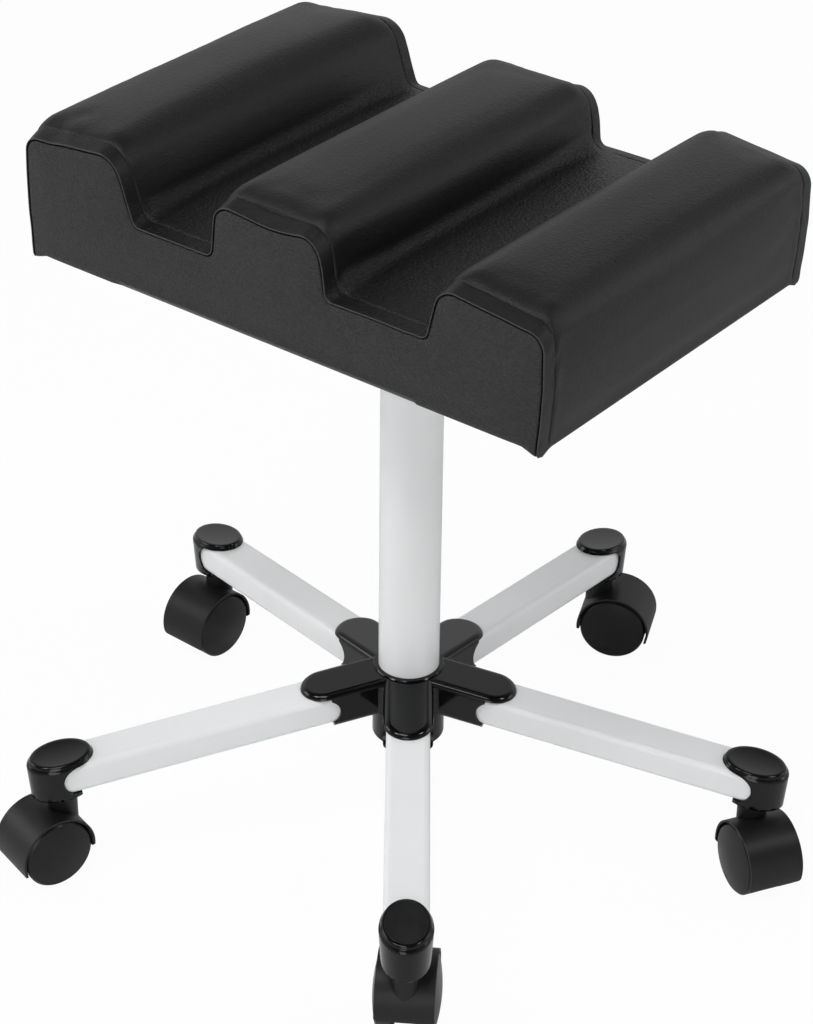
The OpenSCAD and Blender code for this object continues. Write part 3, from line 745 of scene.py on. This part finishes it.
swell = {
    # the coarse copy of the pad that is blown up
    "around": 150,
    "nearSeam": [0.0, 1.2, 3.0, 6.0, 10.0, 14.0],
    "spacing": 6.0,
    "lipSteps": [(2.0, 0.6), (4.6, 1.85)],
    "pitch": 7.0,
    "merge": 0.2,
    "voxel": 5.0,
    "heldWithin": 5.5,       # of the seams
    "heldBelow": 4.0,
    # its cloth
    "pressure": 4.0,
    "frames": 20,
    "quality": 5,
    "mass": 0.3,
    "stretch": 18,
    "shear": 8,
    "bending": 0.6,
    # how its swell is carried over to the fine mesh
    "neighbours": 16,
    "blur": 4.0,
    "cap": 2.6,
    "least": 1e-6,           # moves are taken to be at least this long where they are divided by
    "seamFade": (1.5, 14.0),
    "lowFade": (2.0, 18.0),
}


def seamPoints():
    seam, _ = outlinePair(swell["around"])
    return np.array([(x, side * cushion["seamAt"], z) for side in (-1, 1) for x, z in seam])


def addPressureCloth(piece):
    s = swell
    cloth = piece.modifiers.new("cloth", "CLOTH")
    cloth.settings.quality = s["quality"]
    cloth.settings.mass = s["mass"]
    cloth.settings.tension_stiffness = s["stretch"]
    cloth.settings.compression_stiffness = s["stretch"]
    cloth.settings.shear_stiffness = s["shear"]
    cloth.settings.bending_stiffness = s["bending"]
    cloth.settings.use_pressure = True
    cloth.settings.uniform_pressure_force = s["pressure"]
    cloth.settings.vertex_group_mass = "held"
    cloth.settings.effector_weights.gravity = 0
    cloth.collision_settings.use_collision = False
    cloth.point_cache.frame_start, cloth.point_cache.frame_end = 1, s["frames"]


def simulatedSwell(heldTree):
    # the coarse copy is held along its seams and blown up with Cloth; returns its points and how they moved
    s = swell
    places = wrapPlaces(s["nearSeam"], s["spacing"])
    vertices, faces = cushionShell(s["around"], places, s["lipSteps"], s["pitch"])
    trial = newMesh("swellTrial", tuckedEdges(vertices) * mm, faces)
    mergeAndOrient(trial, s["merge"] * mm)
    trial.data.remesh_voxel_size = s["voxel"] * mm
    bpy.ops.object.voxel_remesh()
    rest = meshPoints(trial) / mm
    held = trial.vertex_groups.new(name="held")
    for k, point in enumerate(rest):
        if heldTree.find(point)[2] < s["heldWithin"] or point[2] < s["heldBelow"]:
            held.add([k], 1.0, "REPLACE")
    scene = bpy.context.scene
    scene.frame_start, scene.frame_end = 1, s["frames"]
    addPressureCloth(trial)
    for frameNumber in range(1, s["frames"] + 1):
        scene.frame_set(frameNumber)
    makeActive(trial)
    bpy.ops.object.modifier_apply(modifier="cloth")
    moved = meshPoints(trial) / mm - rest
    bpy.data.objects.remove(trial)
    scene.frame_set(1)
    return rest, moved


def swollen(points, heldTree):
    # carries the simulated swell over to the fine mesh, softly capped, and fades it out towards the seams
    s = swell
    rest, moved = simulatedSwell(heldTree)
    tree = treeOf(rest)
    shift = np.zeros_like(points)
    for k, point in enumerate(points):
        near = tree.find_n(point, s["neighbours"])
        weights = np.array([1 / (n[2] + s["blur"]) ** 2 for n in near])
        shift[k] = weights @ moved[[n[1] for n in near]] / weights.sum()
    size = np.linalg.norm(shift, axis=1)
    print("cushion swell, mm: mean", round(float(size.mean()), 2), "most", round(float(size.max()), 2))
    capped = s["cap"] * np.tanh(size / s["cap"]) / np.maximum(size, s["least"])
    fromSeam = np.array([heldTree.find(point)[2] for point in points])
    fade = smoothStep(fromSeam, *s["seamFade"]) * smoothStep(points[:, 2], *s["lowFade"])
    return points + shift * (capped * fade)[:, None]


grainPlaces = {
    "tight": 0.2,                    # grain that is left where the cover is pulled tight
    "pastSeam": (0.2, 0.8),          # where the end panels start
    "channelHeights": (54.0, 62.0),  # where the channels' grain ends, going up
    "sides": (180.0, 192.0),
}


def panelOf(points):
    # 1 on the end panels, past the seams
    low, high = (cushion["seamAt"] + past for past in grainPlaces["pastSeam"])
    return smoothStep(np.abs(points[:, 1]), low, high)


def grainOf(points):
    # 1 on the end panels and in the channels, less where the cover is pulled tight
    s = grainPlaces
    inChannel = 1 - smoothStep(points[:, 2], *s["channelHeights"])
    inChannel = inChannel * (1 - smoothStep(np.abs(points[:, 0]), *s["sides"]))
    return s["tight"] + (1 - s["tight"]) * np.maximum(panelOf(points), inChannel)


def foldHighlightOf(points, wrapRows):
    # above 0 on the folded lips, which are the rows next to the wrap's first and last one; it places a painted
    # highlight there
    values = np.zeros(len(points))
    around, steps = cushion["around"], len(lip["steps"])
    rowCount = steps * 2 + wrapRows
    for step, value in enumerate(lip["foldHighlightShares"]):
        for row in (steps - 1 - step, rowCount - steps + step):
            values[row * around:(row + 1) * around] = value
    return values


board = {
    "edge": 8.65,      # the seat board's pocket lies this far inside the cushion's edge
    "round": 11.6,
    "roundSteps": 6,
    "deep": 13.9,
}


def cutPocket(pad, place):
    # the seat board's pocket in the underside
    s = board
    low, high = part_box("cushion")
    width = high.x - low.x - 2 * s["edge"] * mm
    length = 2 * (cushion["seamAt"] - s["edge"]) * mm
    deselectAll()
    bpy.ops.mesh.primitive_cube_add(size=1, location=place)
    block = bpy.context.object
    block.scale = (width, length, 2 * s["deep"] * mm)
    bpy.ops.object.transform_apply(location=True, rotation=True, scale=True)
    bpy.ops.object.mode_set(mode="EDIT")
    bpy.ops.mesh.select_mode(type="EDGE")
    bpy.ops.mesh.select_all(action="DESELECT")
    bpy.ops.object.mode_set(mode="OBJECT")
    for edge in block.data.edges:
        a, b = (block.data.vertices[k].co for k in edge.vertices)
        edge.select = abs(a.z - b.z) > s["deep"] * mm
    bpy.ops.object.mode_set(mode="EDIT")
    bpy.ops.mesh.bevel(offset=s["round"] * mm, segments=s["roundSteps"])
    bpy.ops.object.mode_set(mode="OBJECT")
    joinWith(pad, block, "DIFFERENCE")


thread = {
    "pitch": 4.6,
    "length": 3.0,
    "radius": 0.3,
    "sides": 6,
    "startsAbove": 3.0,                        # the lower edge
    "ringShares": [0.0, 0.12, 0.5, 0.88, 1.0],  # where a stitch's rings lie along it, and their widths
    "ringWidths": [0.35, 0.8, 1.0, 0.8, 0.35],
    "outerRise": 25.0,                         # how steeply the cushion's outside is taken to look up
    "merge": 0.001,
}


def addStitch(vertices, faces, line):
    # one short thread along the line
    s = thread
    across = np.array([0.0, 1.0, 0.0])
    rise = np.cross(line[-1] - line[0], across)
    rise /= np.linalg.norm(rise)
    if rise @ np.array([line[0][0], 0, s["outerRise"]]) < 0:
        rise = -rise
    first, sides = len(vertices), s["sides"]
    for centre, wide in zip(line, s["ringWidths"]):
        for turn in np.arange(sides) * 2 * math.pi / sides:
            vertices.append(centre + (across * math.cos(turn) + rise * math.sin(turn)) * s["radius"] * wide)
    for ring in range(first, first + (len(line) - 1) * sides, sides):
        for k in range(sides):
            a, b = ring + k, ring + (k + 1) % sides
            faces.append((a, b, b + sides, a + sides))
    faces.append(tuple(first + k for k in reversed(range(sides))))
    faces.append(tuple(len(vertices) - sides + k for k in range(sides)))


def addStitches(creaseLines, place):
    # short threads laid in the topstitch's crease, on both sides of the cushion
    s = thread
    vertices, faces = [], []
    for line in creaseLines:
        run = runAlong(line)
        for start in np.arange(s["pitch"] / 2, run[-1] - s["pitch"], s["pitch"]):
            at = start + s["length"] * np.array(s["ringShares"])
            addStitch(vertices, faces, np.column_stack([np.interp(at, run, line[:, k]) for k in range(3)]))
    stitches = newMesh("topstitch", np.array(vertices) * mm + np.array(place), faces)
    mergeAndOrient(stitches, s["merge"] * mm)
    return stitches


def creaseLinesOf(points, places):
    # the rows of the fine mesh that lie deepest in the two topstitch creases
    around = cushion["around"]
    lines = []
    for sign in (-1, 1):
        crease = sign * (cushion["seamAt"] - sewing["crease"])
        row = len(lip["steps"]) + min(range(len(places)), key=lambda k: abs(places[k] - crease))
        line = points[row * around:(row + 1) * around]
        lines.append(line[line[:, 2] > thread["startsAbove"]])
    return lines


def buildCushion():
    s = cushion
    place = Vector((columnCentre.x, columnCentre.y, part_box("cushion")[0].z))
    places = wrapPlaces(s["nearSeam"], s["spacing"])
    vertices, faces = cushionShell(s["around"], places, lip["steps"], s["panelPitch"])
    points = tuckedEdges(vertices)
    points = swollen(points, treeOf(seamPoints()))
    pad = newMesh("cushionCover", points * mm + np.array(place), faces)
    # the panel attribute also places a painted sheen in the cover's colour, and the folded lips' attribute places
    # a painted highlight
    masks = {"grain": grainOf(points), "panel": panelOf(points), "fold": foldHighlightOf(points, len(places))}
    for attribute, values in masks.items():
        pad.data.attributes.new(attribute, "FLOAT", "POINT").data.foreach_set("value", values)
    mergeAndOrient(pad, s["merge"] * mm)
    cutPocket(pad, place)
    for polygon in pad.data.polygons:
        polygon.use_smooth = True
    setMaterial(pad, "cover")
    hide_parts("cushion")
    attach(pad, "base")
    print("cushion made:", len(pad.data.polygons), "faces")
    stitches = addStitches(creaseLinesOf(points, places), place)
    setMaterial(stitches, "cover")
    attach(stitches, "base")
    print("topstitch made:", len(stitches.data.polygons), "faces")


buildCushion()


# End caps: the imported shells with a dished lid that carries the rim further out; lengths are in mm

capLid = {
    "slope": 6.2,           # degrees, the arms' downward slope
    "joint": (1.7, 2.9),    # how far below the shell's top its outline is measured, between these two
    "sides": 96,
    # how far below the shell's top and how far in from that outline
    "rings": [(2.3, 0.05), (1.1, 0.45), (0.0, 1.0), (-0.45, 1.5), (-0.7, 2.2)],
    # shares of the rim's size, and how far below the shell's top
    "dish": [(0.9, -0.55), (0.75, -0.36), (0.55, -0.16), (0.3, -0.02), (0.08, 0.04)],
    "smoothAngle": 40,
    "merge": 0.01,
}


def lidSolid(halfPlan):
    # an elliptical lid, ring by ring, with its lower face at the joint and a shallow dish on top
    s = capLid
    rings = [(below, halfPlan[0] - inset, halfPlan[1] - inset) for below, inset in s["rings"]]
    rim = rings[-1]
    rings += [(below, rim[1] * share, rim[2] * share) for share, below in s["dish"]]
    deselectAll()
    bpy.ops.mesh.primitive_circle_add(vertices=s["sides"], radius=mm, fill_type="NGON")
    lid = bpy.context.object
    bpy.ops.object.mode_set(mode="EDIT")
    bpy.ops.mesh.select_all(action="SELECT")
    bpy.ops.transform.resize(value=(rings[0][1], rings[0][2], 1), center_override=(0, 0, 0))
    bpy.ops.transform.translate(value=(0, 0, -rings[0][0] * mm))
    for old, new in zip(rings, rings[1:]):
        rise = (old[0] - new[0]) * mm
        bpy.ops.mesh.extrude_region_move(TRANSFORM_OT_translate={"value": (0, 0, rise)})
        bpy.ops.transform.resize(value=(new[1] / old[1], new[2] / old[2], 1), center_override=(0, 0, 0))
    bpy.ops.mesh.select_all(action="SELECT")
    bpy.ops.mesh.normals_make_consistent(inside=False)
    bpy.ops.object.mode_set(mode="OBJECT")
    return lid


def liddedCap(number):
    s = capLid
    shell = bpy.data.objects.new(f"capShell_{number}", cadNodes[f"end_cap_{number}"].data.copy())
    bpy.context.scene.collection.objects.link(shell)
    mergeAndOrient(shell, s["merge"] * mm)
    joint = next(j for j in frame["joints"] if j["name"] == f"swivel_{number}")
    stem = np.array(joint["pos_m"][:2]) / mm
    away = stem - np.array(columnCentre[:2]) / mm
    away /= np.linalg.norm(away)
    points = meshPoints(shell) / mm
    along = (points[:, :2] - stem) @ away
    across = (points[:, :2] - stem) @ np.array([-away[1], away[0]])
    level = points[:, 2] + along * math.tan(math.radians(s["slope"]))
    below = level.max() - level
    outline = (below > s["joint"][0]) & (below < s["joint"][1])
    lid = lidSolid([np.abs(along[outline]).max(), np.abs(across[outline]).max()])
    lid.rotation_euler = (0, math.radians(s["slope"]), math.atan2(away[1], away[0]))
    lid.location = (stem[0] * mm, stem[1] * mm, level.max() * mm)
    makeActive(lid)
    bpy.ops.object.transform_apply(location=True, rotation=True, scale=True)
    joinWith(shell, lid, "UNION")
    bpy.ops.object.shade_smooth_by_angle(angle=math.radians(s["smoothAngle"]))
    setMaterial(shell, "black_gloss")
    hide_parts(f"end_cap_{number}")
    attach(shell, "base")
    return len(shell.data.polygons)


capCount = sum(name.startswith("end_cap_") for name in cadNodes)
print("caps made:", [liddedCap(number) for number in range(1, capCount + 1)], "faces")


# Floor, lamps and world; lengths are in metres

stage = {
    "floorSize": 14.0,
    "floorLevel": 0.86,
    "floorChange": 0.01,
    "floorPattern": 3.0,
    "whiteShare": 0.96,      # how far the camera sees the floor as plain white; the rest keeps the shadow
    # the studio's brightness by the sine of the height, behind the stool and on the viewer's side
    "backSky": [(0.0, 0.70), (0.25, 0.90), (0.5, 1.0), (0.7, 0.55), (0.85, 0.20), (1.0, 0.16)],
    "frontSky": [(0.0, 0.9), (0.25, 0.45), (0.5, 0.12), (0.7, 0.08), (0.85, 0.10), (1.0, 0.16)],
    "skyTurn": (0.15, 0.75),  # where the front passes into the back, by how far a direction points away
    "lampAim": 0.3,          # the height on the column that the lamps point at
}
lamps = {
    "leftSoftbox": {"side": -2.2, "away": 0.4, "height": 1.1, "size": 1.0, "power": 10},
    "rightSoftbox": {"side": 2.3, "away": 0.2, "height": 0.9, "size": 0.9, "power": 5},
    "leftLamp": {"side": -1.5, "away": -0.8, "height": 2.2, "size": 0.6, "power": 13},
    "rightLamp": {"side": 1.6, "away": -0.6, "height": 2.1, "size": 0.5, "power": 10},
    "frontSoftbox": {"side": -0.5, "away": -2.6, "height": 0.9, "size": 1.2, "power": 13},
    "topSoftbox": {"side": -0.6, "away": -1.0, "height": 2.6, "size": 1.1, "power": 22},
}


def addFloor(settings):
    # seen from below the floor is clear, so that the underside shows
    deselectAll()
    bpy.ops.mesh.primitive_plane_add(size=settings["floorSize"], location=(0, 0, 0))
    floor = bpy.context.object
    floor.name = "floor"
    g = Graph("floorWhite")
    seen = g.node("LightPath").out("Is Camera Ray")
    pattern = g.noise(g.objectPlace(), settings["floorPattern"])
    lowest, highest = (settings["floorLevel"] + sign * settings["floorChange"] for sign in (-1, 1))
    matte = g.node("BsdfDiffuse", {}, {"Color": g.tinted(g.spread(pattern, lowest, highest))})
    white = g.node("Emission", {}, {"Color": (1, 1, 1, 1), "Strength": 1.0})
    mixed = g.node("MixShader", {}, {0: seen * settings["whiteShare"], 1: matte.out(), 2: white.out()})
    clear = g.node("BsdfTransparent")
    below = g.node("NewGeometry").out("Backfacing")
    sided = g.node("MixShader", {}, {0: below, 1: mixed.out(), 2: clear.out()})
    g.node("OutputMaterial", {}, {"Surface": sided.out()})
    floor.data.materials.append(g.material)


def addWorld(settings):
    # plain white to the camera; the light comes from a bright back and a dim front
    world = bpy.data.worlds.new("studio")
    bpy.context.scene.world = world
    world.use_nodes = True
    g = Graph("studio", world.node_tree)
    seen = g.node("LightPath").out("Is Camera Ray")
    direction = g.node("TexCoord").out("Generated")
    height = g.node("SeparateXYZ", {}, {0: direction}).out("Z")
    away = g.node("VectorMath", {"operation": "DOT_PRODUCT"}, {0: direction, 1: tuple(pictureAway)})
    behind = g.remap(away.out("Value"), *settings["skyTurn"], 0.0, 1.0)
    back, front = (g.ramp(height, [(place, (bright, bright, bright)) for place, bright in settings[side]])
                   for side in ("backSky", "frontSky"))
    soft = g.node("Background", {}, {"Color": back * behind + front * (1 - behind), "Strength": 1.0})
    white = g.node("Background", {}, {"Color": (1, 1, 1, 1), "Strength": 1.0})
    mixed = g.node("MixShader", {}, {0: seen, 1: soft.out(), 2: white.out()})
    g.node("OutputWorld", {}, {"Surface": mixed.out()})


def addLamp(name, lamp):
    data = bpy.data.lights.new(name, "AREA")
    data.shape = "SQUARE"
    data.size = lamp["size"]
    data.energy = lamp["power"]
    spot = bpy.data.objects.new(name, data)
    bpy.context.scene.collection.objects.link(spot)
    place = pictureRight * lamp["side"] + pictureAway * lamp["away"] + Vector((0, 0, lamp["height"]))
    towards = Vector((columnCentre.x, columnCentre.y, stage["lampAim"])) - place
    spot.location = place
    spot.rotation_euler = towards.to_track_quat("-Z", "Y").to_euler()


addFloor(stage)
addWorld(stage)
for lampName, lampSettings in lamps.items():
    addLamp(lampName, lampSettings)
bpy.context.scene.view_settings.view_transform = "Standard"
print("floor, world and lamps set")
